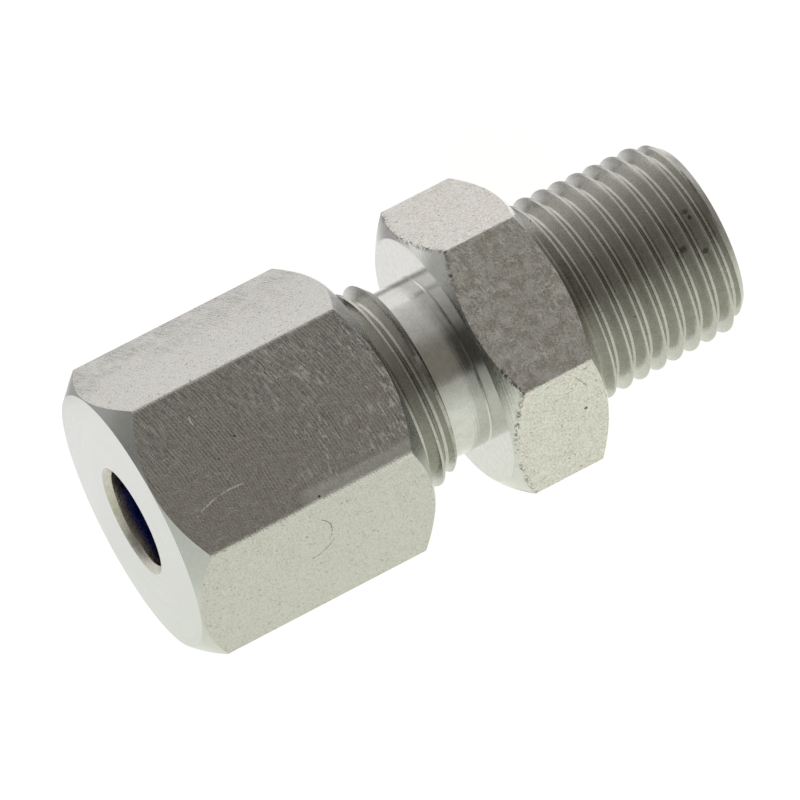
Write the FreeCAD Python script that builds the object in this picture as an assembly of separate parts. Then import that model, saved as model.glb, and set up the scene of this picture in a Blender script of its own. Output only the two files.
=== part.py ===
import FreeCAD, Part
import math
import os

# Compression fitting for a thermocouple probe, in millimetres. It has three pieces: a
# bored-through body, a union nut and the olive between them that grips the probe.
# The axis runs along X, from the nut's front face to the tip of the pipe thread.
# The fitting lies on one flat of each hexagon, with Z up and Y across.

# Hexagon bar that the body and the nut are turned from
ACROSS_FLATS = 12.7

# Probe passage
PROBE_DIA = 4.5
PROBE_CLEARANCE = 0.125
OLIVE_CLEARANCE = 0.04

# Nut. A face step is how far a round end face stays inside the flats.
NUT_LENGTH = 12.2
NUT_FRONT_WALL = 3.2
NUT_FRONT_FACE_STEP = 0.03
NUT_FRONT_BEVEL_DEG = 45.0
NUT_BACK_FACE_STEP = 0.15
NUT_BACK_BEVEL_DEG = 39.5
NUT_ENTRY_BEVEL = 0.3
NUT_SEAT_HALF_ANGLE_DEG = 45.0
NUT_MOUTH_BEVEL = 0.35

# Compression thread between the nut and the body, plain here at the size of its crests
FINE_THREAD_DIA = 9.89
FINE_TIP_BEVEL = 0.55
FINE_BACK_BEVEL = 0.35
THREAD_SHOWING = 2.05
THREAD_RUNNING_CLEARANCE = 0.07

# Neck between the compression thread and the body's hexagon
NECK_UNDERCUT = 0.76
NECK_LENGTH = 2.05
NECK_FILLET = 0.28

# Body hexagon
BODY_HEX_LENGTH = 5.0
BODY_FACE_STEP = 0.2
BODY_FRONT_BEVEL_DEG = 33.0
BODY_BACK_BEVEL_DEG = 30.0

# Taper pipe thread of the eighth size, with flat crests and pointed roots
PIPE_THREAD_LENGTH = 8.4
PIPE_PITCH = 0.907
PIPE_GAUGE_DIA = 9.728
PIPE_GAUGE_LENGTH = 4.0
PIPE_TAPER = 1.0 / 16.0
PIPE_THREAD_DEPTH = 0.58
PIPE_FLANK_DEG = 27.5
PIPE_PLAIN_AT_HEX = 0.12
PIPE_START_DEG = 69.0
PIPE_TIP_UNDER_ROOT = 0.01
PIPE_TIP_BEVEL_DEG = 40.0

# Olive, and the conical mouth of the body that closes on it
OLIVE_WALL = 0.96
OLIVE_BACK_WALL = 0.45
OLIVE_BORE_BEVEL = 0.2
OLIVE_SHOULDER_LENGTH = 1.3
OLIVE_NOSE_HALF_ANGLE_DEG = 9.0
OLIVE_NOSE_WALL = 0.32
OLIVE_SEAT_GAP = 0.03
OLIVE_TRAVEL = 1.05
MOUTH_LEAD = 0.1
MOUTH_HALF_ANGLE_DEG = 12.0

# Small amount by which a cutting tool passes the surface that it opens
OVERSHOOT = 0.2

# Slopes of the cones, as radius gained for each millimetre along the axis
seat_slope = math.tan(math.radians(NUT_SEAT_HALF_ANGLE_DEG))
nose_slope = math.tan(math.radians(OLIVE_NOSE_HALF_ANGLE_DEG))
mouth_slope = math.tan(math.radians(MOUTH_HALF_ANGLE_DEG))

# Radii that follow from the sizes above
bore_r = PROBE_DIA / 2 + PROBE_CLEARANCE
olive_bore_r = PROBE_DIA / 2 + OLIVE_CLEARANCE
olive_r = olive_bore_r + OLIVE_WALL
olive_back_r = olive_bore_r + OLIVE_BACK_WALL
olive_nose_r = olive_bore_r + OLIVE_NOSE_WALL
mouth_r = olive_r + MOUTH_LEAD
fine_thread_r = FINE_THREAD_DIA / 2
neck_r = fine_thread_r - NECK_UNDERCUT
nut_cavity_r = fine_thread_r + THREAD_RUNNING_CLEARANCE
flat_r = ACROSS_FLATS / 2
corner_r = ACROSS_FLATS / math.sqrt(3)

# Stations along the axis, from the nut's front face
nut_seat_end = NUT_FRONT_WALL + (nut_cavity_r - bore_r) / seat_slope
olive_back = NUT_FRONT_WALL + (olive_back_r - bore_r) / seat_slope + OLIVE_SEAT_GAP
olive_shoulder = olive_back + (olive_r - olive_back_r) / seat_slope
olive_nose = olive_shoulder + OLIVE_SHOULDER_LENGTH
olive_front = olive_nose + (olive_r - olive_nose_r) / nose_slope
body_start = olive_front + OLIVE_TRAVEL - (mouth_r - olive_nose_r) / mouth_slope
mouth_end = body_start + (mouth_r - bore_r) / mouth_slope
fine_thread_end = NUT_LENGTH + THREAD_SHOWING
hex_start = fine_thread_end + NECK_LENGTH
hex_end = hex_start + BODY_HEX_LENGTH
tip = hex_end + PIPE_THREAD_LENGTH


def point(x, radius):
    """A point of a turned profile, in the XY plane."""
    return FreeCAD.Vector(x, radius, 0)


def turned(stations):
    """Solid of revolution about X from (x, radius) stations, closed along the axis."""
    outline = [point(stations[0][0], 0)]
    outline += [point(x, radius) for x, radius in stations]
    outline += [point(stations[-1][0], 0)]
    face = Part.Face(Part.makePolygon(outline + outline[:1]))
    return face.revolve(FreeCAD.Vector(), FreeCAD.Vector(1, 0, 0), 360)


def hexagon_bar(start, end):
    """Hexagonal prism along X, with one flat facing up and one facing down."""
    corners = []
    for side in range(6):
        angle = math.radians(60 * side)
        corners.append(FreeCAD.Vector(start, corner_r * math.cos(angle), corner_r * math.sin(angle)))
    face = Part.Face(Part.makePolygon(corners + corners[:1]))
    return face.extrude(FreeCAD.Vector(end - start, 0, 0))


def bevelled_hexagon(start, end, front_r, front_deg, back_r, back_deg):
    """Hexagon turned at both ends, so that each end has a round face and curved bevels."""
    reach = corner_r + OVERSHOOT
    front = (reach - front_r) * math.tan(math.radians(front_deg))
    back = (reach - back_r) * math.tan(math.radians(back_deg))
    envelope = turned([(start, front_r), (start + front, reach), (end - back, reach), (end, back_r)])
    return hexagon_bar(start, end).common(envelope)


def pipe_crest_r(x):
    """Crest radius of the taper thread at a station on the axis."""
    gauge_plane = tip - PIPE_GAUGE_LENGTH
    return PIPE_GAUGE_DIA / 2 - (x - gauge_plane) * PIPE_TAPER / 2


def make_nut():
    """Union nut: hexagon with a probe hole, a conical seat for the olive and a round cavity."""
    blank = bevelled_hexagon(0, NUT_LENGTH, flat_r - NUT_FRONT_FACE_STEP, NUT_FRONT_BEVEL_DEG,
                             flat_r - NUT_BACK_FACE_STEP, NUT_BACK_BEVEL_DEG)
    inside = turned([(0, bore_r + NUT_ENTRY_BEVEL), (NUT_ENTRY_BEVEL, bore_r),
                     (NUT_FRONT_WALL, bore_r), (nut_seat_end, nut_cavity_r),
                     (NUT_LENGTH - NUT_MOUTH_BEVEL, nut_cavity_r),
                     (NUT_LENGTH, nut_cavity_r + NUT_MOUTH_BEVEL)])
    return blank.cut(inside)


def make_compression_end():
    """Thread blank and neck at the nut's end of the body, up to the hexagon's face."""
    return turned([(body_start, fine_thread_r - FINE_TIP_BEVEL),
                   (body_start + FINE_TIP_BEVEL, fine_thread_r),
                   (fine_thread_end - FINE_BACK_BEVEL, fine_thread_r),
                   (fine_thread_end, fine_thread_r - FINE_BACK_BEVEL), (fine_thread_end, neck_r),
                   (hex_start - NECK_FILLET, neck_r), (hex_start, neck_r + NECK_FILLET),
                   (hex_start + OVERSHOOT, neck_r)])


def make_pipe_end():
    """Taper thread blank from the hexagon to the tip, with its leading bevel."""
    tip_r = pipe_crest_r(tip) - PIPE_THREAD_DEPTH - PIPE_TIP_UNDER_ROOT
    bevel = (pipe_crest_r(tip) - tip_r) / math.tan(math.radians(PIPE_TIP_BEVEL_DEG))
    return turned([(hex_end - OVERSHOOT, pipe_crest_r(hex_end)), (hex_end, pipe_crest_r(hex_end)),
                   (tip - bevel, pipe_crest_r(tip - bevel)), (tip, tip_r)])


def make_pipe_groove():
    """Helical cutter for the right-hand taper thread, from near the hexagon past the tip.

    The start angle is measured about X, from +Y towards +Z.
    """
    flank = math.tan(math.radians(PIPE_FLANK_DEG))
    start = hex_end + PIPE_PLAIN_AT_HEX + PIPE_THREAD_DEPTH * flank
    end = tip + PIPE_PITCH
    root_r = pipe_crest_r(start) - PIPE_THREAD_DEPTH
    narrowing = -math.degrees(math.atan(PIPE_TAPER / 2))
    helix = Part.makeLongHelix(PIPE_PITCH, end - start, root_r, narrowing)
    reach = PIPE_THREAD_DEPTH + OVERSHOOT
    section = [FreeCAD.Vector(root_r, 0, 0), FreeCAD.Vector(root_r + reach, 0, -reach * flank),
               FreeCAD.Vector(root_r + reach, 0, reach * flank)]
    profile = Part.makePolygon(section + section[:1])
    cutter = Part.Wire(helix.Edges).makePipeShell([profile], True, True)
    cutter.rotate(FreeCAD.Vector(), FreeCAD.Vector(0, 1, 0), 90)
    cutter.rotate(FreeCAD.Vector(), FreeCAD.Vector(1, 0, 0), 90 + PIPE_START_DEG)
    cutter.translate(FreeCAD.Vector(start, 0, 0))
    return cutter


def make_body():
    """Body: compression end, hexagon and taper thread in one, bored through for the probe."""
    face_r = flat_r - BODY_FACE_STEP
    hexagon = bevelled_hexagon(hex_start, hex_end, face_r, BODY_FRONT_BEVEL_DEG,
                               face_r, BODY_BACK_BEVEL_DEG)
    blank = hexagon.fuse([make_compression_end(), make_pipe_end()])
    passage = turned([(body_start, mouth_r), (mouth_end, bore_r), (tip, bore_r)])
    return blank.cut([passage, make_pipe_groove()])


def make_olive():
    """Olive: a ring with a back cone for the nut's seat and a long nose for the body's mouth."""
    ring = turned([(olive_back, olive_back_r), (olive_shoulder, olive_r), (olive_nose, olive_r),
                   (olive_front, olive_nose_r)])
    hole = turned([(olive_back, olive_bore_r + OLIVE_BORE_BEVEL),
                   (olive_back + OLIVE_BORE_BEVEL, olive_bore_r), (olive_front, olive_bore_r)])
    return ring.cut(hole)


def place(shape):
    """Move a piece from its axis to the resting place: flats on z = 0, length centred on X."""
    shape.translate(FreeCAD.Vector(-tip / 2, 0, ACROSS_FLATS / 2))
    return shape


def main():
    """Build every piece and write one STEP file for each."""
    os.makedirs("parts", exist_ok=True)
    pieces = {"compression_nut": make_nut(), "fitting_body": make_body(), "ferrule": make_olive()}
    for name, shape in pieces.items():
        place(shape).exportStep("parts/" + name + ".step")


main()
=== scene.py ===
"""Looks of the compression fitting: its threads, tooled steel surfaces, floor, light and camera."""

import logging
import math
from dataclasses import dataclass, replace
from enum import Enum
from typing import Callable, Iterable, Optional

import bmesh
import bpy
from mathutils import Matrix, Vector


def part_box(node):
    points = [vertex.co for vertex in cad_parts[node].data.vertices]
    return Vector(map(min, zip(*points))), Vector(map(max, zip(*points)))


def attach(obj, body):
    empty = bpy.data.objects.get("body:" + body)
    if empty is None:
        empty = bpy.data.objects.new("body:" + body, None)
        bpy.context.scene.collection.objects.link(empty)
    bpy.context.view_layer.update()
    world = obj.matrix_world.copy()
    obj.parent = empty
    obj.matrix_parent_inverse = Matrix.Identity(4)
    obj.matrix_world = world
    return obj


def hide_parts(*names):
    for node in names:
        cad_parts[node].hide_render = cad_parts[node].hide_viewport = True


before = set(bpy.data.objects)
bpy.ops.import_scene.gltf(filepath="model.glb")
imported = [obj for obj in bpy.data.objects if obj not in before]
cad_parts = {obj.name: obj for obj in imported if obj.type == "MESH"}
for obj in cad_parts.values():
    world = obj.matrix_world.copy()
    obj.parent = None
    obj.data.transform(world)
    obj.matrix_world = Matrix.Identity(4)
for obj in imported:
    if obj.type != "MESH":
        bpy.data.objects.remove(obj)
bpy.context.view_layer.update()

LOG = logging.getLogger("compression_fitting")

Station = tuple[float, float]
Point = tuple[float, float, float]
Colour = tuple[float, float, float]

MM = 0.001
MICROMETRE = 1e-6
WHITE: Colour = (1.0, 1.0, 1.0)
BLACK: Colour = (0.0, 0.0, 0.0)

# Sides of every turned surface
STEPS_PER_TURN = 144
# Points of one mesh that are closer than this, in millimetres, are the same point
NEAR = 1e-4
# How near a cutting plane a point counts as on it, for square cuts and for milled flats
CUT_TOLERANCE = 1e-6
MILL_TOLERANCE = 1e-5
# Edges that turn more than this stay sharp
SHARP_DEG = 30.0
# A face whose normal is this close to the axis is shaded flat
SQUARE_FACE = math.cos(math.radians(1))
# A milled flat has more corners than this, and a strip of an eased edge has fewer
STRIP_CORNERS = 8

# Station of a crest of the compression thread, on the side that faces up
FINE_CREST_AT = 13.18
# Distance of the flats from the axis, at which the marks on them are placed
FLAT_R = 6.35
# How far a hexagon's turned blank reaches past its corners
PAST_CORNERS = 0.2

# Heights in micrometres of what stands out of a finish or is sunk in it
SPECK_HEIGHT = 12.0
MARK_HEIGHT = 12.0
SPARK_HEIGHT = 14.0
PIT_DEPTH = 6.0
# How much rougher the metal is there
GRAIN_ROUGHNESS = 0.1
RING_ROUGHNESS = 0.2
MARK_ROUGHNESS = 0.4
SPARK_ROUGHNESS = 0.5
# How much each of them moves the colour
MOTTLE_TINT = 0.8
GRAIN_TINT = 3.0
STRAY_TINT = 0.6
# SPARK_TINT paints a glint into the colour of the scuffed spots
SPARK_TINT = 0.8

# Shares of a mark's half length and half width at which it reaches its full strength
FULL_REACH = 0.8
FULL_WIDTH = 0.4


class Surface(Enum):
    """The kinds of surface on a piece, which are also its material slots in order."""

    TURNED = 0
    FLAT = 1
    THREAD = 2
    BORE = 3


@dataclass(frozen=True)
class FrameSizes:
    """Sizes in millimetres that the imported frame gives.

    A station is a distance along the axis from the nut's front face.

    Attributes:
        nut_length: Length of the nut.
        body_start: Station of the body's end inside the nut.
        tip: Station of the pipe thread's end.
        flat_r: Distance of the flats from the axis.
        corner_r: Distance of the hexagons' corners from the axis.
        origin: Point on the axis at the nut's front face, in metres.
    """

    nut_length: float
    body_start: float
    tip: float
    flat_r: float
    corner_r: float
    origin: Vector

    @classmethod
    def read(cls) -> "FrameSizes":
        """Measure the nodes of the frame.

        Returns:
            The sizes.
        """
        nut_low, nut_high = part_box("compression_nut")
        body_low, body_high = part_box("fitting_body")
        axis_z = (nut_low.z + nut_high.z) / 2
        flat_r = (nut_high.z - nut_low.z) / 2 / MM
        return cls(
            nut_length=(nut_high.x - nut_low.x) / MM,
            body_start=(body_low.x - nut_low.x) / MM,
            tip=(body_high.x - nut_low.x) / MM,
            flat_r=flat_r,
            corner_r=flat_r / math.cos(math.radians(30)),
            origin=Vector((nut_low.x, 0, axis_z)),
        )

    def to_metres(self) -> Matrix:
        """Matrix from millimetres on the nut's axis to the frame."""
        return Matrix.Translation(self.origin) @ Matrix.Scale(MM, 4)


@dataclass(frozen=True)
class ThreadForm:
    """Section of a thread, as depths in millimetres below its largest radius.

    Attributes:
        pitch: Distance from one turn to the next.
        depth: From the largest radius to the smallest.
        flank_deg: Angle between a flank and a plane across the axis.
        top_flat: Width of the flat at the largest radius.
        top_round: Radius of the rounding beside that flat.
        foot_flat: Width of the flat at the smallest radius.
        foot_round: Radius of the rounding beside that flat.
        arc_points: Straight lines that make one rounding.
    """

    pitch: float
    depth: float
    flank_deg: float
    top_flat: float = 0.0
    top_round: float = 0.03
    foot_flat: float = 0.0
    foot_round: float = 0.03
    arc_points: int = 4

    def half(self, flat: float, radius: float) -> list[Station]:
        """Points of one rounded end of the section, from its middle to the flank.

        Args:
            flat: Width of the flat.
            radius: Radius of the rounding.

        Returns:
            Offsets along the axis with drops from the flat.
        """
        sweep = math.radians(90 - self.flank_deg)
        points = [(0.0, 0.0)] if flat else []
        for step in range(self.arc_points + 1):
            turn = sweep * step / self.arc_points
            points.append((flat / 2 + radius * math.sin(turn), radius * (1 - math.cos(turn))))
        return points

    def section(self) -> list[Station]:
        """One pitch of the thread, from the middle of a root to the middle of the next.

        Returns:
            Offsets along the axis, with 0 at the crest, and depths.
        """
        top = self.half(self.top_flat, self.top_round)
        foot = self.half(self.foot_flat, self.foot_round)
        rise = [(self.pitch / 2 - offset, self.depth - drop) for offset, drop in foot]
        flank = [((rise[-1][0] + top[-1][0]) / 2, (rise[-1][1] + top[-1][1]) / 2)]
        half = rise + flank + top[::-1]
        return [(-offset, depth) for offset, depth in half] + half[::-1][1:]


PIPE_FORM = ThreadForm(pitch=0.907, depth=0.581, flank_deg=27.5, top_flat=0.08, top_round=0.025,
                       foot_flat=0.08, foot_round=0.06)
FINE_FORM = ThreadForm(pitch=1.0, depth=0.605, flank_deg=30, top_flat=0.1, top_round=0.02,
                       foot_flat=0.09, foot_round=0.06)
NUT_FORM = ThreadForm(pitch=1.0, depth=0.545, flank_deg=30, top_flat=0.12, top_round=0.04,
                      foot_flat=0.17)


def eased(stations: list[Station], size: float) -> list[Station]:
    """Round the sharp corners of a turned outline.

    Args:
        stations: Points of the outline, as station on the axis and radius.
        size: Length taken off each side of a corner.

    Returns:
        The outline with a short curve in place of each corner.
    """
    points = [Vector(stations[0])]
    for before, corner, after in zip(stations, stations[1:], stations[2:]):
        middle = Vector(corner)
        back, ahead = Vector(before) - middle, Vector(after) - middle
        # A curve takes less than half of a side, so that two on one side never meet
        reach = min(size, back.length / 2.2, ahead.length / 2.2)
        first = middle + back.normalized() * reach
        last = middle + ahead.normalized() * reach
        points += [first, (first + last + 2 * middle) / 4, last]
    points.append(Vector(stations[-1]))
    return [(point.x, point.y) for point in points]


def spun(stations: list[Station], pitch: float = 0.0) -> bmesh.types.BMesh:
    """Turn an open outline once about the axis.

    Args:
        stations: Points as station on the axis and radius.
        pitch: How far the outline moves along the axis in the turn.

    Returns:
        A new mesh of the turned surface, in millimetres.
    """
    bm = bmesh.new()
    verts = [bm.verts.new((x, radius, 0)) for x, radius in stations]
    edges = [bm.edges.new(pair) for pair in zip(verts, verts[1:])]
    bmesh.ops.spin(bm, geom=verts + edges, axis=(1, 0, 0), cent=(0, 0, 0),
                   dvec=(pitch / STEPS_PER_TURN, 0, 0), angle=2 * math.pi, steps=STEPS_PER_TURN,
                   use_merge=pitch == 0)
    return bm


def reradius(bm: bmesh.types.BMesh, rule: Callable[[float, float], float]) -> None:
    """Move every point of a mesh straight out from the axis, or in.

    Args:
        bm: The mesh.
        rule: Gives the new radius from the station and the old radius.
    """
    for vert in bm.verts:
        radius = math.hypot(vert.co.y, vert.co.z)
        ratio = rule(vert.co.x, radius) / radius
        vert.co.y *= ratio
        vert.co.z *= ratio


def cut_off(bm: bmesh.types.BMesh, station: float, keep_beyond: bool) -> None:
    """Cut a mesh square to the axis, and keep the end beyond the cut or the one before it."""
    bmesh.ops.bisect_plane(bm, geom=bm.verts[:] + bm.edges[:] + bm.faces[:], dist=CUT_TOLERANCE,
                           plane_co=(station, 0, 0), plane_no=(1, 0, 0),
                           clear_inner=keep_beyond, clear_outer=not keep_beyond)


@dataclass(frozen=True)
class ThreadRun:
    """A thread of some form between two stations, with its largest radius before any taper.

    Attributes:
        form: Its section.
        radius: Largest radius at the start.
        start: Station where it begins.
        end: Station where it ends.
        crest_at: Station of a crest on the side that faces up.
        narrowing: Radius lost for each millimetre along the axis.
    """

    form: ThreadForm
    radius: float
    start: float
    end: float
    crest_at: float
    narrowing: float = 0.0

    def surface(self) -> bmesh.types.BMesh:
        """Sweep the section along its screw line.

        Returns:
            The threaded surface with both ends cut square.
        """
        pitch = self.form.pitch
        # The sweep starts on the +Y side, a quarter turn before the side that faces up. It
        # has whole turns that pass both ends, which are then cut square.
        phase = self.crest_at - pitch / 4
        first = phase + pitch * math.floor((self.start - phase) / pitch - 1.5)
        turns = math.ceil((self.end - self.start) / pitch) + 3
        bm = spun([(first + offset, self.radius - depth)
                   for offset, depth in self.form.section()], pitch)
        turn = bpy.data.meshes.new("turn")
        bm.to_mesh(turn)
        for _ in range(turns - 1):
            turn.transform(Matrix.Translation((pitch, 0, 0)))
            bm.from_mesh(turn)
        bpy.data.meshes.remove(turn)
        bmesh.ops.remove_doubles(bm, verts=bm.verts, dist=NEAR)
        reradius(bm, lambda x, radius: radius - (x - self.start) * self.narrowing)
        cut_off(bm, self.start, keep_beyond=True)
        cut_off(bm, self.end, keep_beyond=False)
        return bm


@dataclass(frozen=True)
class HexEnds:
    """How the two ends of a hexagon are turned.

    Attributes:
        start: Station of the front face.
        end: Station of the back face.
        front_r: Radius of the flat front face.
        front_deg: Angle of the front bevel from the face.
        back_r: Radius of the flat back face.
        back_deg: Angle of the back bevel from the face.
    """

    start: float
    end: float
    front_r: float
    front_deg: float
    back_r: float
    back_deg: float

    def envelope(self, reach: float) -> list[Station]:
        """Outline that the bevels are turned to.

        Args:
            reach: Radius that is outside every corner.

        Returns:
            Stations from the front face to the back face.
        """
        front = (reach - self.front_r) * math.tan(math.radians(self.front_deg))
        back = (reach - self.back_r) * math.tan(math.radians(self.back_deg))
        return [(self.start, self.front_r), (self.start + front, reach),
                (self.end - back, reach), (self.end, self.back_r)]


def mill_flats(bm: bmesh.types.BMesh, flat_r: float, corner_round: float) -> None:
    """Cut six flats on a turned blank and ease the corners between them.

    Args:
        bm: The turned blank.
        flat_r: Distance of each flat from the axis.
        corner_round: How far the easing reaches from each corner.
    """
    for side in range(6):
        angle = math.radians(30 + 60 * side)
        normal = Vector((0, math.cos(angle), math.sin(angle)))
        cut = bmesh.ops.bisect_plane(bm, geom=bm.verts[:] + bm.edges[:] + bm.faces[:],
                                     dist=MILL_TOLERANCE, plane_co=normal * flat_r,
                                     plane_no=normal, clear_outer=True)
        rim = [item for item in cut["geom_cut"] if isinstance(item, bmesh.types.BMEdge)]
        bmesh.ops.edgeloop_fill(bm, edges=rim, mat_nr=Surface.FLAT.value)
    corners = [edge for edge in bm.edges if len(edge.link_faces) == 2
               and all(face.material_index == Surface.FLAT.value for face in edge.link_faces)]
    bmesh.ops.bevel(bm, geom=corners, offset=corner_round, offset_type="OFFSET", segments=3,
                    profile=0.5, affect="EDGES", material=-1, clamp_overlap=True)


def linked(bm: bmesh.types.BMesh, name: str) -> bpy.types.Object:
    """Make an object of the scene from a mesh, and free the mesh.

    Args:
        bm: The mesh.
        name: Name of the object.

    Returns:
        The new object, at the origin.
    """
    mesh = bpy.data.meshes.new(name)
    bm.to_mesh(mesh)
    bm.free()
    made = bpy.data.objects.new(name, mesh)
    bpy.context.scene.collection.objects.link(made)
    return made


class TurnedPiece:
    """A piece built up from stretches of surface about one axis, in millimetres."""

    def __init__(self) -> None:
        """Start with no surface."""
        self.bm = bmesh.new()

    def take(self, part: bmesh.types.BMesh, surface: Optional[Surface] = None) -> None:
        """Add a stretch of surface and free its mesh.

        Args:
            part: The stretch.
            surface: Its kind, or nothing where its faces already say.
        """
        if surface is not None:
            for face in part.faces:
                face.material_index = surface.value
        mesh = bpy.data.meshes.new("stretch")
        part.to_mesh(mesh)
        part.free()
        self.bm.from_mesh(mesh)
        bpy.data.meshes.remove(mesh)

    def join_at(self, station: float, surface: Surface) -> None:
        """Close the ring between two open rims that lie in one plane across the axis.

        Args:
            station: Place of the plane.
            surface: Kind of surface that the ring gets.
        """
        rims = [edge for edge in self.bm.edges if edge.is_boundary
                and all(abs(vert.co.x - station) < NEAR for vert in edge.verts)]
        ring = bmesh.ops.triangle_fill(self.bm, edges=rims, use_beauty=True, normal=(1, 0, 0))
        for face in ring["geom"]:
            if isinstance(face, bmesh.types.BMFace):
                face.material_index = surface.value

    def finish_mesh(self, name: str, sizes: FrameSizes) -> bpy.types.Object:
        """Merge the stretches, set the shading and make the object.

        Args:
            name: Name of the object.
            sizes: Gives the place of the axis.

        Returns:
            The new object, at the origin of the frame with its place in its mesh.
        """
        bmesh.ops.remove_doubles(self.bm, verts=self.bm.verts, dist=NEAR)
        bmesh.ops.recalc_face_normals(self.bm, faces=self.bm.faces)
        for face in self.bm.faces:
            flat = face.material_index == Surface.FLAT.value
            square = abs(face.normal.x) > SQUARE_FACE
            face.smooth = not (flat and len(face.verts) > STRIP_CORNERS) and not square
        for edge in self.bm.edges:
            edge.smooth = edge.calc_face_angle(0) < math.radians(SHARP_DEG)
        bmesh.ops.transform(self.bm, matrix=sizes.to_metres(), verts=self.bm.verts)
        open_edges = sum(1 for edge in self.bm.edges if not edge.is_manifold)
        LOG.info("%s: %d faces, %d open edges", name, len(self.bm.faces), open_edges)
        return linked(self.bm, name)


class Wire:
    """A number carried by a node socket, so that shader maths reads as Python."""

    def __init__(self, sheet: "NodeSheet", socket: bpy.types.NodeSocket) -> None:
        """Keep the sheet that new nodes go on, and the socket that holds the number."""
        self.sheet = sheet
        self.socket = socket

    def _with(self, operation: str, *values: object, clamp: bool = False) -> "Wire":
        """Add one Math node that works on these values."""
        settings = {"operation": operation, "use_clamp": clamp}
        return self.sheet.out("ShaderNodeMath", settings, dict(enumerate(values)))

    def __add__(self, other: object) -> "Wire":
        """This plus another."""
        return self._with("ADD", self, other)

    __radd__ = __add__

    def __mul__(self, other: object) -> "Wire":
        """This times another."""
        return self._with("MULTIPLY", self, other)

    def __sub__(self, other: object) -> "Wire":
        """This less another."""
        return self._with("SUBTRACT", self, other)

    def __rsub__(self, other: object) -> "Wire":
        """Another less this."""
        return self._with("SUBTRACT", other, self)

    def __pow__(self, power: float) -> "Wire":
        """This to a power."""
        return self._with("POWER", self, power)

    def size(self) -> "Wire":
        """This without its sign."""
        return self._with("ABSOLUTE", self)

    def sine(self) -> "Wire":
        """Sine of this angle."""
        return self._with("SINE", self)

    def cosine(self) -> "Wire":
        """Cosine of this angle."""
        return self._with("COSINE", self)

    def angle_over(self, across: "Wire") -> "Wire":
        """Angle of the direction that goes this far up and so far across."""
        return self._with("ARCTAN2", self, across)

    def wrapped(self, half: float) -> "Wire":
        """This brought between minus and plus a limit by whole steps of twice the limit."""
        return self._with("WRAP", self, half, -half)

    def cap(self) -> "Wire":
        """This held between 0 and 1."""
        return self._with("ADD", self, 0.0, clamp=True)

    def ramp(self, low: float, high: float, soft: bool = True) -> "Wire":
        """Rise from 0 to 1 between two values.

        Args:
            low: Where the rise begins.
            high: Where it ends, which may be under low for a fall.
            soft: Whether its ends are rounded.

        Returns:
            The number from 0 to 1.
        """
        shape = "SMOOTHSTEP" if soft else "LINEAR"
        settings = {"interpolation_type": shape, "clamp": True}
        if low > high:
            return 1 - self.ramp(high, low, soft)
        return self.sheet.out("ShaderNodeMapRange", settings,
                              {"Value": self, "From Min": low, "From Max": high})


class NodeSheet:
    """The node tree of one material or world."""

    def __init__(self, owner: bpy.types.Material | bpy.types.World) -> None:
        """Give the material or world nodes, and begin with none of them."""
        owner.use_nodes = True
        self.tree = owner.node_tree
        self.tree.nodes.clear()

    def node(self, kind: str, settings: Optional[dict] = None,
             inputs: Optional[dict] = None) -> bpy.types.Node:
        """Add a node.

        Args:
            kind: Type of the node.
            settings: Properties, set before the sockets.
            inputs: Values or wires for its sockets, by name or place.

        Returns:
            The new node.
        """
        made = self.tree.nodes.new(kind)
        for key, value in (settings or {}).items():
            setattr(made, key, value)
        for key, value in (inputs or {}).items():
            socket = made.inputs[key]
            if isinstance(value, Wire):
                self.tree.links.new(value.socket, socket)
            else:
                socket.default_value = value
        return made

    def out(self, kind: str, settings: Optional[dict] = None, inputs: Optional[dict] = None,
            output: object = 0) -> Wire:
        """Add a node and give the wire from one of its outputs."""
        return Wire(self, self.node(kind, settings, inputs).outputs[output])

    def parts(self, vector: Wire) -> tuple[Wire, ...]:
        """The X, Y and Z of a vector."""
        split = self.node("ShaderNodeSeparateXYZ", {}, {0: vector})
        return tuple(Wire(self, output) for output in split.outputs)

    def ray(self, kind: str) -> Wire:
        """1 where light is traced as one kind of ray, such as Camera, and 0 elsewhere."""
        return self.out("ShaderNodeLightPath", output=f"Is {kind} Ray")

    def colour_mix(self, share: object, first: object, second: object) -> Wire:
        """Mix two colours.

        Args:
            share: How much of the second, from 0 to 1.
            first: A colour or its wire.
            second: A colour or its wire.

        Returns:
            The mixed colour.
        """
        first, second = (value if isinstance(value, Wire) else (*value, 1.0)
                         for value in (first, second))
        return self.out("ShaderNodeMix", {"data_type": "RGBA"}, {0: share, 6: first, 7: second},
                        output=2)

    def vector(self, operation: str, *values: object, output: object = 0) -> Wire:
        """Add one Vector Math node that works on these values."""
        return self.out("ShaderNodeVectorMath", {"operation": operation},
                        dict(enumerate(values)), output)

    def distance(self, point: Wire, other: Point) -> Wire:
        """Distance from a point to a fixed one."""
        return self.vector("DISTANCE", point, other, output="Value")


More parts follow.
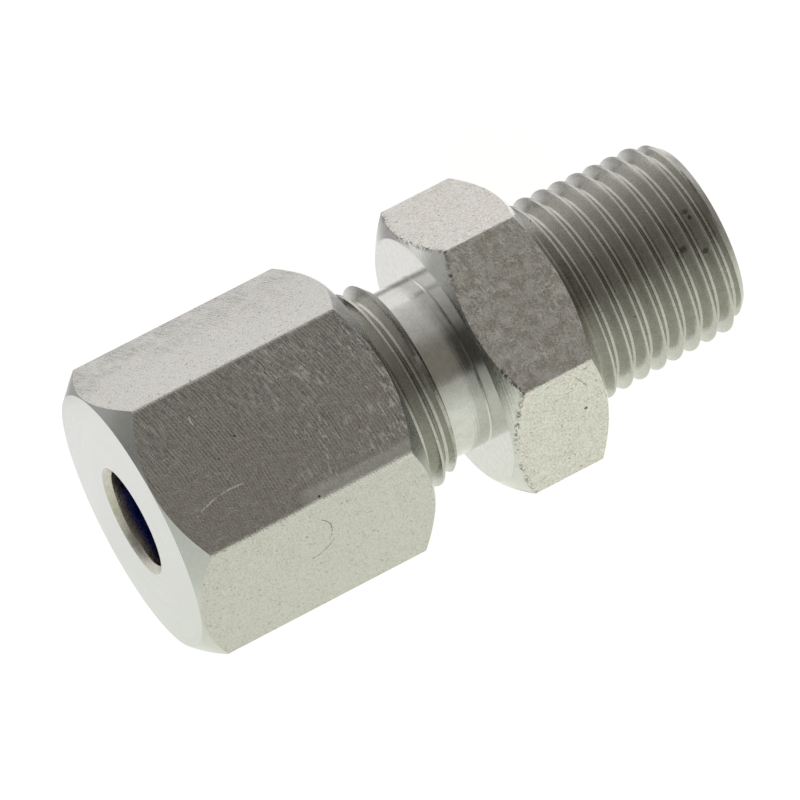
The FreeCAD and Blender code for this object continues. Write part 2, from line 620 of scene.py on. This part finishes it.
@dataclass(frozen=True)
class PiecePlace:
    """Wires that say where a shaded point is on the fitting, in millimetres.

    Attributes:
        point: The point, with the axis as its X.
        along: Station on the axis.
        up: Height over the axis.
        radius: Distance from the axis.
        aside: Sideways distance from the middle of the nearest flat.
        reach: Distance from the axis square to the nearest flat.
    """

    point: Wire
    along: Wire
    up: Wire
    radius: Wire
    aside: Wire
    reach: Wire

    @classmethod
    def on(cls, sheet: NodeSheet, sizes: FrameSizes) -> "PiecePlace":
        """Read object coordinates and measure from the nut's front face.

        Args:
            sheet: Where the nodes go.
            sizes: Gives the place of the axis.

        Returns:
            The wires.
        """
        coords = sheet.out("ShaderNodeTexCoord", output="Object")
        offset = sheet.vector("SUBTRACT", coords, tuple(sizes.origin))
        point = sheet.vector("MULTIPLY", offset, (1 / MM, 1 / MM, 1 / MM))
        along, across, up = sheet.parts(point)
        radius = (across * across + up * up) ** 0.5
        half_side = math.radians(30)
        turn = (up.angle_over(across) - half_side).wrapped(half_side)
        return cls(point, along, up, radius, radius * turn.sine(), radius * turn.cosine())

    def noise(self, scale: float, detail: float, rough: float = 0.5, bend: float = 0.0,
              point: Optional[Wire] = None) -> Wire:
        """Soft noise from 0 to 1 here or at another point, with so many patches in a unit."""
        return self.point.sheet.out("ShaderNodeTexNoise", {"noise_dimensions": "3D"}, {
            "Vector": point or self.point, "Scale": scale, "Detail": detail, "Roughness": rough,
            "Distortion": bend})

    def streaks(self, run: Wire, along: float, around: float, detail: float,
                rough: float = 0.5) -> Wire:
        """Soft noise from 0 to 1, drawn out into marks that run across the axis.

        Args:
            run: Distance that changes from one mark to the next.
            along: Patches in a millimetre of that distance.
            around: Patches in a millimetre along a mark.
            detail: How many finer layers the noise has.
            rough: How strong they are.

        Returns:
            The noise.
        """
        sheet = self.point.sheet
        kept = sheet.vector("MULTIPLY", self.point, (0.0, around, around))
        shift = sheet.out("ShaderNodeCombineXYZ", {}, {0: run * along})
        return self.noise(1.0, detail, rough, point=sheet.vector("ADD", kept, shift))


@dataclass(frozen=True)
class Mark:
    """A scratch or pit, where a thin shell meets the surface within a ball.

    Attributes:
        middle: Middle of the mark, in millimetres from the nut's front face.
        reach: Half of its length.
        centre: Centre that a scratch bends about, or nothing for a pit.
        width: Half of the width of a scratch.
        broken: Whether the scratch is a row of dots.
        strength: How much of the mark shows at its middle.
    """

    middle: Point
    reach: float
    centre: Optional[Point] = None
    width: float = 0.03
    broken: bool = False
    strength: float = 1.0

    def mask(self, place: PiecePlace) -> Wire:
        """How much of the mark is at a point.

        Args:
            place: Where the point is.

        Returns:
            The mark's strength in it and 0 away from it.
        """
        sheet = place.point.sheet
        away = sheet.distance(place.point, self.middle)
        inside = away.ramp(self.reach, self.reach * FULL_REACH) * self.strength
        if self.centre is None:
            return inside
        bend = math.dist(self.middle, self.centre)
        off = (sheet.distance(place.point, self.centre) - bend).size()
        scratch = inside * off.ramp(self.width, self.width * FULL_WIDTH)
        if self.broken:
            scratch = scratch * place.noise(7.0, detail=1.0).ramp(0.42, 0.52)
        return scratch


@dataclass(frozen=True)
class BurredEdge:
    """Ragged dark edge where a turned bevel meets the flats of a hexagon.

    Attributes:
        start: Station of the round face.
        face_r: Radius of that face.
        deg: Angle of the bevel from the face.
        width: How far the raggedness reaches on each side.
    """

    start: float = 16.3
    face_r: float = 6.15
    deg: float = 33.0
    width: float = 0.2

    def mask(self, place: PiecePlace) -> Wire:
        """How much of the ragged edge is at a point.

        Args:
            place: Where the point is.

        Returns:
            1 in a burr and 0 away from the edge.
        """
        slope = math.tan(math.radians(self.deg))
        from_bevel = (place.along - self.start - (place.radius - self.face_r) * slope).size()
        from_flat = (FLAT_R - place.reach).size()
        on_edge = (from_bevel + from_flat).ramp(self.width, 0.02)
        corner = place.radius.ramp(FLAT_R, FLAT_R + 0.6)
        ragged = (place.noise(5.5, detail=2.0, rough=0.7) + corner * 0.07).ramp(0.52, 0.6)
        patchy = place.noise(0.9, detail=1.0).ramp(0.42, 0.56) * 0.8 + 0.2
        return on_edge * ragged * (patchy + corner * 0.4).cap()


def all_marks(marks: Iterable[Mark | BurredEdge], place: PiecePlace) -> Wire:
    """Add up the masks of several marks, held to 1."""
    return sum(mark.mask(place) for mark in marks).cap()


def stray_scratches(place: PiecePlace) -> Wire:
    """Thin stray scratches, broken into short lengths."""
    line = (place.noise(0.8, detail=3.0, rough=0.55, bend=0.5) - 0.5).size().ramp(0.016, 0.003)
    return line * place.noise(2.3, detail=1.0).ramp(0.44, 0.56)


def lathe_rings(place: PiecePlace) -> Wire:
    """Fine rings that a lathe tool leaves, about 0 and fading in and out round the piece."""
    run = place.along + place.radius * 0.61
    return place.streaks(run, 12.0, 0.25, detail=3.0, rough=0.65) - 0.5


def cutter_marks(place: PiecePlace) -> tuple[Wire, Wire]:
    """Arched feed marks across a flat, from the cutter that passed over it.

    They fade from one long edge of the flat to the other, and where the flat is worn.

    Args:
        place: Where the shaded point is.

    Returns:
        The height of the marks, about 0, and the top flat's scuffed spots with painted glints.
    """
    from_crown = place.aside - 3.0
    run = place.along + from_crown * from_crown * 0.027
    wander = place.noise(0.5, detail=1.0)
    feed = (run * 40.0 + wander * 9.0).sine() * 0.2
    streaks = place.streaks(run, 17.0, 0.9, detail=1.0, rough=0.6) - 0.5
    worn = place.along.ramp(6.0, 1.5) * place.aside.ramp(-1.5, 1.0) * 0.7
    strength = (place.aside.ramp(3.3, -2.2, soft=False) * 0.9 + 0.1) * (1 - worn)
    patchy = place.noise(0.7, detail=2.0, rough=0.6).ramp(0.4, 0.58) * 0.7 + 0.3
    spots = place.streaks(run, 10.0, 2.6, detail=1.0).ramp(0.55, 0.63)
    top = place.up.ramp(FLAT_R - 0.15, FLAT_R - 0.01)
    # Scuffed spots on the right half of the top flat, which also carry a painted glint
    scuffs_and_glints = top * place.along.ramp(4.0, 9.0) * place.aside.ramp(3.6, 2.6)
    return (feed + streaks) * strength * patchy, spots * scuffs_and_glints * (patchy - 0.2)


@dataclass(frozen=True)
class SteelFinish:
    """A finish of the bare stainless steel, with heights and depths in micrometres.

    Attributes:
        name: Name of the material.
        tone: Colour of the clean metal.
        dull_tone: Colour where the surface is stained or smeared.
        dark_tone: Colour in pits and dark marks.
        bright_tone: Colour in fresh scratches and scuffs, and of painted highlights and glints.
        roughness: Middle roughness.
        mottle_swing: How far the roughness wanders from patch to patch.
        mottle_scale: Patches in a millimetre.
        grain_depth: Height of the fine grain.
        ring_depth: Height of the turned rings.
        line_depth: Height of the marks across the flats.
        specks: How much rougher the small scuffed spots are.
        hairlines: Depth of stray scratches.
        pits: Share of the dark pits that shows, from 0 to 1.
        grain_tint: How much the fine grain shows in the colour.
        depth_tones: Colours further along the axis, each with the stretch where it sets in, as
            painted shade in a hole.
        bright_marks: Scratches that catch the light, and painted highlights.
        dark_marks: Scratches and pits that are dark.
    """

    name: str
    tone: Colour = (0.66, 0.65, 0.625)
    dull_tone: Colour = (0.6, 0.58, 0.545)
    dark_tone: Colour = (0.2, 0.185, 0.165)
    bright_tone: Colour = (0.96, 0.95, 0.93)
    roughness: float = 0.3
    mottle_swing: float = 0.1
    mottle_scale: float = 2.4
    grain_depth: float = 5.0
    ring_depth: float = 0.0
    line_depth: float = 0.0
    specks: float = 0.12
    hairlines: float = 1.5
    pits: float = 0.5
    grain_tint: float = 0.8
    depth_tones: tuple[tuple[Station, Colour], ...] = ()
    bright_marks: tuple[Mark, ...] = ()
    dark_marks: tuple[Mark | BurredEdge, ...] = ()

    def material(self, sizes: FrameSizes) -> bpy.types.Material:
        """Build the material.

        Args:
            sizes: Gives the place of the axis.

        Returns:
            The new material.
        """
        made = bpy.data.materials.new(self.name)
        sheet = NodeSheet(made)
        place = PiecePlace.on(sheet, sizes)
        mottle = place.noise(self.mottle_scale, detail=4.0, rough=0.68).ramp(0.36, 0.64)
        grain = place.noise(11.0, detail=2.0, rough=0.6) - 0.5
        specks = place.noise(6.1, detail=2.0, rough=0.7).ramp(0.62, 0.7) * self.specks
        strays = stray_scratches(place)
        height = grain * self.grain_depth + strays * self.hairlines + specks * SPECK_HEIGHT
        rough = (self.roughness - (mottle - 0.5) * self.mottle_swing + grain * GRAIN_ROUGHNESS
                 + specks)
        bright: Wire | float = 0.0
        if self.ring_depth:
            rings = lathe_rings(place)
            height = height + rings * self.ring_depth
            rough = rough + rings * RING_ROUGHNESS
        if self.bright_marks:
            bright = all_marks(self.bright_marks, place)
            height = height + bright * MARK_HEIGHT
            rough = rough + bright * MARK_ROUGHNESS
        if self.line_depth:
            lines, sparks = cutter_marks(place)
            height = height + lines * self.line_depth + sparks * SPARK_HEIGHT
            rough = rough + sparks * SPARK_ROUGHNESS
            # Painted glint: the scuffed spots are also brightened in colour
            bright = bright + sparks * SPARK_TINT
        dark = place.noise(3.1, detail=1.5, rough=0.6).ramp(0.745, 0.79) * self.pits
        if self.dark_marks:
            dark = (dark + all_marks(self.dark_marks, place)).cap()
        fine = (grain * GRAIN_TINT - strays * STRAY_TINT) * self.grain_tint
        tint = (mottle * MOTTLE_TINT + fine).cap()
        colour = sheet.colour_mix(tint, self.tone, self.dull_tone)
        for reach, depth_tone in self.depth_tones:
            colour = sheet.colour_mix(place.along.ramp(*reach), colour, depth_tone)
        colour = sheet.colour_mix(bright, colour, self.bright_tone)
        colour = sheet.colour_mix(dark, colour, self.dark_tone)
        bump = sheet.out("ShaderNodeBump", {}, {
            "Height": height - dark * PIT_DEPTH, "Distance": MICROMETRE, "Strength": 1.0})
        shader = sheet.out("ShaderNodeBsdfPrincipled", {}, {
            "Base Color": colour, "Metallic": 1.0, "Roughness": rough, "Normal": bump})
        sheet.node("ShaderNodeOutputMaterial", {}, {"Surface": shader})
        return made


def on_top(along: float, across: float) -> Point:
    """A point in the plane of the upper flats."""
    return (along, across, FLAT_R)


BARE_STEEL = SteelFinish(
    "steel_turned", ring_depth=1.6, roughness=0.21, mottle_swing=0.04, tone=(0.625, 0.63, 0.62),
    dull_tone=(0.595, 0.595, 0.58), specks=0.04, grain_depth=0.6, hairlines=0.5, pits=0.3)
NECK_STEEL = replace(BARE_STEEL, name="steel_neck", ring_depth=6.5, roughness=0.15,
                     tone=(0.68, 0.675, 0.655), dark_marks=(BurredEdge(),))
NUT_FLAT_STEEL = SteelFinish(
    "steel_nut_flats", line_depth=46.0, roughness=0.34, hairlines=5.0, grain_depth=22.0,
    specks=0.4, mottle_scale=3.0, grain_tint=1.6, dull_tone=(0.575, 0.55, 0.515), pits=0.15,
    bright_marks=(
        Mark(on_top(2.54, -1.45), 1.45, on_top(3.23, -5.77), 0.045, True, 0.75),
        Mark(on_top(10.8, 0.1), 0.5, on_top(12.6, 0.8), broken=True),
        Mark(on_top(3.1, 2.1), 0.22, on_top(3.5, 2.1), 0.05),
        Mark(on_top(11.2, -1.4), 0.5, on_top(9.0, 24.0), 0.02, True, 0.5),
        # Painted highlight: a wide, faint bright band along the lower long edge of the top flat
        Mark(on_top(9.2, -3.4), 3.6, on_top(9.2, 60.0), 0.5, strength=0.42)),
    dark_marks=(
        Mark(on_top(4.54, 0.62), 0.07), Mark(on_top(3.43, 0.02), 0.05),
        Mark((6.61, -3.5, 6.3), 0.09),
        Mark((6.9, -4.75, 4.5), 0.95, (5.75, -4.85, 4.35), 0.03, True),
        Mark((6.4, -5.45, 3.25), 0.8, (5.75, -4.85, 4.35), 0.03, True)))
BODY_FLAT_STEEL = SteelFinish(
    "steel_body_flats", line_depth=3.0, grain_depth=30.0, roughness=0.45, mottle_swing=0.2,
    mottle_scale=1.9, tone=(0.84, 0.83, 0.805), dull_tone=(0.64, 0.595, 0.54), hairlines=12.0,
    specks=0.5, pits=0.15, grain_tint=1.4,
    dark_marks=(
        BurredEdge(), Mark((20.02, -4.27, 5.29), 0.7, (14.0, -7.7, 3.5), 0.025, True),
        Mark((20.06, -5.24, 3.62), 0.1)))
THREAD_STEEL = SteelFinish(
    "steel_thread", ring_depth=2.5, grain_depth=4.0, roughness=0.23, mottle_swing=0.08, pits=0.8,
    specks=0.1, hairlines=2.5, tone=(0.56, 0.555, 0.525), dull_tone=(0.48, 0.465, 0.43),
    dark_marks=(Mark((28.03, 0.57, 4.42), 0.2), Mark((27.16, -1.0, 4.3), 0.21),
                Mark((28.11, -1.54, 4.12), 0.19), Mark((28.41, 0.18, 4.5), 0.13)))
BORE_STEEL = SteelFinish("steel_bore", ring_depth=2.0, roughness=0.28, tone=(0.42, 0.42, 0.43),
                         dull_tone=(0.37, 0.365, 0.36), pits=0.2)
# Painted shade in the probe hole: a little way in, the colour turns dark brown, then dark navy,
# then plain bore grey near the seat
NUT_BORE_STEEL = replace(
    BORE_STEEL, name="steel_nut_bore", tone=(0.6, 0.58, 0.52), dull_tone=(0.5, 0.47, 0.41),
    depth_tones=(((0.25, 0.6), (0.38, 0.31, 0.23)), ((0.45, 0.85), (0.07, 0.09, 0.34)),
                 ((2.6, 3.2), (0.42, 0.42, 0.43))))


@dataclass
class CompressionNut:
    """Union nut with its hexagon, probe hole, seat and internal thread.

    Sizes are in millimetres. A step is how far a round end face stays inside the flats, and
    the relief is the plain stretch between the seat and the thread.
    """

    sizes: FrameSizes
    bore_r: float = 2.375
    front_wall: float = 3.2
    face_step: float = 0.03
    back_step: float = 0.15
    front_deg: float = 45.0
    back_deg: float = 39.5
    entry_bevel: float = 0.3
    thread_r: float = 5.015
    relief_r: float = 5.045
    relief_length: float = 0.9
    mouth_bevel: float = 0.35
    edge: float = 0.03
    corner_round: float = 0.12
    finishes: tuple[SteelFinish, ...] = (BARE_STEEL, NUT_FLAT_STEEL, THREAD_STEEL, NUT_BORE_STEEL)

    def thread(self) -> ThreadRun:
        """The internal thread, in step with the one on the body."""
        start, end = self.seat_end() + self.relief_length, self.sizes.nut_length - self.mouth_bevel
        return ThreadRun(NUT_FORM, self.thread_r, start, end, FINE_CREST_AT)

    def seat_end(self) -> float:
        """Station where the 45 degree seat reaches the relief."""
        return self.front_wall + self.relief_r - self.bore_r

    def build(self) -> bpy.types.Object:
        """Make the nut's mesh.

        Returns:
            The nut.
        """
        length, flat_r = self.sizes.nut_length, self.sizes.flat_r
        ends = HexEnds(0, length, flat_r - self.face_step, self.front_deg,
                       flat_r - self.back_step, self.back_deg)
        thread = self.thread()
        hole_rim = (self.entry_bevel, self.bore_r)
        front = [(thread.start, self.relief_r), (self.seat_end(), self.relief_r),
                 (self.front_wall, self.bore_r), hole_rim, (0, self.bore_r + self.entry_bevel)]
        envelope = ends.envelope(self.sizes.corner_r + PAST_CORNERS)
        back = [(length, self.relief_r + self.mouth_bevel), (thread.end, self.relief_r)]
        # One more point on the front face lets the rim of the hole be eased with the rest
        inner = eased(front + [(0, self.bore_r + 1)], self.edge)[:-1]
        blank = spun(inner + envelope + eased([envelope[-1]] + back, self.edge)[1:])
        for face in blank.faces:
            middle = face.calc_center_median()
            # The eased rim of the hole counts as front face until it is this deep
            inside = math.hypot(middle.y, middle.z) < self.relief_r and middle.x > 0.01
            face.material_index = Surface.BORE.value if inside else Surface.TURNED.value
        mill_flats(blank, flat_r, self.corner_round)
        piece = TurnedPiece()
        piece.take(blank)
        piece.take(thread.surface(), Surface.THREAD)
        piece.join_at(thread.start, Surface.THREAD)
        piece.join_at(thread.end, Surface.THREAD)
        return piece.finish_mesh("nut", self.sizes)


@dataclass
class FittingBody:
    """Body with its compression thread, neck, hexagon, taper pipe thread and probe bore.

    Sizes are in millimetres. The fine thread is the compression thread, the gauge is where
    the pipe thread has its nominal radius, and its fade is the runout next to the hexagon.
    """

    sizes: FrameSizes
    bore_r: float = 2.375
    mouth_r: float = 3.35
    mouth_deg: float = 12.0
    fine_r: float = 4.945
    fine_tip_bevel: float = 0.55
    fine_back_bevel: float = 0.35
    fine_end: float = 14.25
    neck_r: float = 4.185
    neck_length: float = 2.05
    neck_fillet: float = 0.07
    hex_length: float = 5.0
    face_step: float = 0.2
    front_deg: float = 33.0
    back_deg: float = 30.0
    pipe_gauge_r: float = 4.864
    pipe_gauge_length: float = 4.0
    pipe_slope: float = 1 / 32
    pipe_crest_at: float = 23.135
    pipe_fade: float = 0.75
    pipe_rim: float = 0.05
    tip_r: float = 4.15
    tip_deg: float = 40.0
    bore_bevel: float = 0.15
    edge: float = 0.03
    corner_round: float = 0.06
    finishes: tuple[SteelFinish, ...] = (NECK_STEEL, BODY_FLAT_STEEL, THREAD_STEEL, BORE_STEEL)

    def crest_r(self, station: float) -> float:
        """Crest radius of the taper thread at a station."""
        gauge = self.sizes.tip - self.pipe_gauge_length
        return self.pipe_gauge_r - (station - gauge) * self.pipe_slope

    def hex_ends(self) -> HexEnds:
        """Where the body's hexagon is, and how its ends are turned.

        Returns:
            Its ends.
        """
        start = self.fine_end + self.neck_length
        face_r = self.sizes.flat_r - self.face_step
        return HexEnds(start, start + self.hex_length, face_r, self.front_deg,
                       face_r, self.back_deg)

    def fine_thread(self) -> bmesh.types.BMesh:
        """Make the compression thread with a bevel at each end.

        Returns:
            Its surface, open at both ends.
        """
        start, end = self.sizes.body_start, self.fine_end
        surface = ThreadRun(FINE_FORM, self.fine_r, start, end, FINE_CREST_AT).surface()
        front_r, back_r = self.fine_r - self.fine_tip_bevel, self.fine_r - self.fine_back_bevel
        reradius(surface, lambda x, r: min(r, front_r + x - start, back_r + end - x))
        return surface

    def pipe_thread(self) -> bmesh.types.BMesh:
        """Make the taper thread, which runs out at the hexagon and is bevelled at the tip.

        Returns:
            Its surface, open at both ends.
        """
        start, tip = self.hex_ends().end, self.sizes.tip
        surface = ThreadRun(PIPE_FORM, self.crest_r(start), start, tip, self.pipe_crest_at,
                            self.pipe_slope).surface()
        slope = math.tan(math.radians(self.tip_deg))

        def shaped(x: float, r: float) -> float:
            """Shallower next to the hexagon, and under the tip's bevel."""
            depth = (self.crest_r(x) - r) * min(1.0, max(0.0, (x - start) / self.pipe_fade))
            return min(self.crest_r(x) - depth, self.tip_r + (tip - x) * slope)

        reradius(surface, shaped)
        return surface

    def build(self) -> bpy.types.Object:
        """Make the body's mesh.

        Returns:
            The body.
        """
        ends = self.hex_ends()
        envelope = ends.envelope(self.sizes.corner_r + PAST_CORNERS)
        neck = [(self.fine_end, self.neck_r), (ends.start - self.neck_fillet, self.neck_r),
                (ends.start, self.neck_r + self.neck_fillet)]
        middle = spun(neck + envelope + [(ends.end, self.crest_r(ends.end) + self.pipe_rim)])
        mill_flats(middle, self.sizes.flat_r, self.corner_round)
        start, tip = self.sizes.body_start, self.sizes.tip
        mouth_length = (self.mouth_r - self.bore_r) / math.tan(math.radians(self.mouth_deg))
        inner = [(tip, self.bore_r + self.bore_bevel), (tip - self.bore_bevel, self.bore_r),
                 (start + mouth_length, self.bore_r), (start, self.mouth_r)]
        piece = TurnedPiece()
        piece.take(middle)
        piece.take(spun(eased(inner, self.edge)), Surface.BORE)
        piece.take(self.fine_thread(), Surface.THREAD)
        piece.take(self.pipe_thread(), Surface.THREAD)
        for station in (start, self.fine_end, ends.end, tip):
            piece.join_at(station, Surface.TURNED)
        return piece.finish_mesh("body", self.sizes)


@dataclass
class Olive:
    """Ring between the nut's seat and the body's mouth, with its sizes in millimetres."""

    sizes: FrameSizes
    bore_r: float = 2.29
    outer_r: float = 3.25
    back_wall: float = 0.45
    bore_bevel: float = 0.2
    back: float = 3.595
    nose_at: float = 5.405
    nose_wall: float = 0.32
    nose_deg: float = 9.0
    edge: float = 0.05
    finishes: tuple[SteelFinish, ...] = (BARE_STEEL,)

    def build(self) -> bpy.types.Object:
        """Make the olive's mesh.

        Returns:
            The olive.
        """
        back_r, nose_r = self.bore_r + self.back_wall, self.bore_r + self.nose_wall
        front = self.nose_at + (self.outer_r - nose_r) / math.tan(math.radians(self.nose_deg))
        outline = [(self.back, back_r), (self.back + self.outer_r - back_r, self.outer_r),
                   (self.nose_at, self.outer_r), (front, nose_r), (front, self.bore_r),
                   (self.back + self.bore_bevel, self.bore_r),
                   (self.back, self.bore_r + self.bore_bevel), (self.back, back_r)]
        piece = TurnedPiece()
        piece.take(spun(eased(outline, self.edge)), Surface.TURNED)
        return piece.finish_mesh("olive", self.sizes)


@dataclass
class Studio:
    """Floor, sky and camera, where the sky and the glowing floor give all the light.

    The near side is -Y, the nut's end is the front and the pipe thread's end is behind. What
    the metal mirrors is dimmed or tinted from place to place, and the camera sees plain white.
    """

    # Camera, in metres, and its focal length in millimetres
    camera_place: Point = (-0.09698, -0.03896, 0.37668)
    view: Point = (0.24905, 0.09956, -0.96336)
    view_up: Point = (0.4447, 0.8719, 0.2050)
    lens: float = 382.5
    # Floor: half of its width, its colour and the strength of its own light
    floor_half: float = 4.0
    floor_colour: Colour = (0.72, 0.72, 0.72)
    floor_glow: float = 0.82
    # Sky, whose colour behind is also that of the mirrored floor behind
    overhead: Colour = (0.23, 0.216, 0.186)
    overhead_front: Colour = (0.065, 0.062, 0.056)
    behind: Colour = (0.14, 0.135, 0.12)
    far_side: Colour = (0.8, 0.795, 0.77)
    near_side: Colour = (0.93, 0.965, 0.87)
    # Mirrored floor: tint and loss of light at the near side, and how much darker the front is,
    # the far corner of the front, and a strip of floor beside the fitting with its painted shadow
    floor_tint: Colour = (0.95, 1.0, 0.87)
    mirrored_loss: float = 0.1
    front_dimming: float = 0.24
    front_corner_dimming: float = 0.45
    shade_dimming: float = 0.7

    def camera(self) -> None:
        """Place the camera at the viewing angle of the photograph."""
        data = bpy.data.cameras.new("camera")
        data.lens = self.lens
        data.sensor_width = 36.0
        data.clip_start, data.clip_end = 0.01, 20.0
        camera = bpy.data.objects.new("camera", data)
        bpy.context.scene.collection.objects.link(camera)
        back = -Vector(self.view).normalized()
        right = Vector(self.view_up).cross(back).normalized()
        turned = Matrix((right, back.cross(right), back)).transposed().to_4x4()
        camera.matrix_world = Matrix.Translation(self.camera_place) @ turned
        bpy.context.scene.camera = camera

    def floor(self) -> None:
        """Lay a plain white floor that keeps the shadow of the fitting."""
        bm = bmesh.new()
        bmesh.ops.create_grid(bm, x_segments=1, y_segments=1, size=self.floor_half)
        floor = linked(bm, "floor")
        floor.data.materials.append(self.floor_material())

    def floor_material(self) -> bpy.types.Material:
        """Floor that is white to the camera, and dimmed, tinted and given a painted shadow where
        the metal mirrors it.

        Returns:
            The new material.
        """
        made = bpy.data.materials.new("floor_white")
        sheet = NodeSheet(made)
        camera_ray, glossy_ray = sheet.ray("Camera"), sheet.ray("Glossy")
        along, across, _ = sheet.parts(sheet.out("ShaderNodeTexCoord", output="Object"))
        near = across.ramp(0.004, -0.012)
        beside = across.size() * 0.5
        dimming = self.front_dimming + across.ramp(0.002, 0.03) * self.front_corner_dimming
        front = (along + beside).ramp(-0.018, -0.05) * dimming
        # Painted shadow of the fitting on the floor along its far side, seen only where the metal
        # mirrors the floor
        shade = across.ramp(0.0064, 0.01) * across.ramp(0.0148, 0.0108)
        shade = shade + along.ramp(-0.012, -0.021) * across.ramp(0.005, 0.013)
        front = front + (1 - front) * shade.cap() * self.shade_dimming
        seen = sheet.colour_mix(near * glossy_ray, WHITE, self.floor_tint)
        seen = sheet.colour_mix(front * glossy_ray, seen, BLACK)
        back = (along - beside).ramp(0.025, 0.06)
        seen = sheet.colour_mix(back * glossy_ray, seen, self.behind)
        seen = sheet.colour_mix((camera_ray + glossy_ray).cap(), BLACK, seen)
        matt = sheet.out("ShaderNodeBsdfDiffuse", {}, {"Color": (*self.floor_colour, 1.0)})
        glow = sheet.out("ShaderNodeEmission", {}, {
            "Color": seen, "Strength": self.floor_glow - glossy_ray * near * self.mirrored_loss})
        both = sheet.out("ShaderNodeAddShader", {}, {0: matt, 1: glow})
        sheet.node("ShaderNodeOutputMaterial", {}, {"Surface": both})
        return made

    def sky(self) -> None:
        """Surround the fitting with light that is dim overhead and bright at the sides."""
        world = bpy.data.worlds.new("sky")
        bpy.context.scene.world = world
        sheet = NodeSheet(world)
        along, across, height = sheet.parts(sheet.out("ShaderNodeTexCoord", output="Generated"))
        near = across.ramp(0.1, -0.1)
        near_share = height.ramp(0.85, 0.76) * 0.4 + height.ramp(0.76, 0.2, soft=False) * 0.6
        far_share = height.ramp(0.96, 0.74) * 0.42 + height.ramp(0.74, 0.05, soft=False) * 0.58
        share = far_share + (near_share - far_share) * near
        side = sheet.colour_mix(near, self.far_side, self.near_side)
        overhead = sheet.colour_mix(along.ramp(0.2, -0.15), self.overhead, self.overhead_front)
        colour = sheet.colour_mix(share, overhead, side)
        dimming = self.front_dimming + across.ramp(0.0, 0.45) * self.front_corner_dimming
        front = along.ramp(-0.3, -0.75) * dimming
        colour = sheet.colour_mix(front, colour, BLACK)
        colour = sheet.colour_mix(along.ramp(0.5, 0.85), colour, self.behind)
        colour = sheet.colour_mix(sheet.ray("Camera"), colour, WHITE)
        light = sheet.out("ShaderNodeBackground", {}, {"Color": colour, "Strength": 1.0})
        sheet.node("ShaderNodeOutputWorld", {}, {"Surface": light})

    def build(self) -> None:
        """Set the whole stage."""
        self.camera()
        self.floor()
        self.sky()
        bpy.context.scene.view_settings.view_transform = "Standard"


def dress(piece: bpy.types.Object, finishes: Iterable[SteelFinish], sizes: FrameSizes) -> None:
    """Give a piece its materials in the order of its surfaces.

    Args:
        piece: The piece.
        finishes: Its finishes.
        sizes: Gives the place of the axis.
    """
    for finish in finishes:
        ready = bpy.data.materials.get(finish.name)
        piece.data.materials.append(ready or finish.material(sizes))


def main() -> None:
    """Build the stage and every piece, and say which node and body each belongs to."""
    logging.basicConfig(level=logging.INFO, format="%(message)s")
    sizes = FrameSizes.read()
    Studio().build()
    for part, node, body, slot in (
            (CompressionNut(sizes), "compression_nut", "nut", "nut_steel"),
            (FittingBody(sizes), "fitting_body", "body", "body_steel"),
            (Olive(sizes), "ferrule", "ferrule", "ferrule_steel")):
        piece = part.build()
        dress(piece, part.finishes, sizes)
        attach(piece, body)
        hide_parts(node)
        LOG.info("%s stands for %s", piece.name, node)


if __name__ == "__main__":
    main()
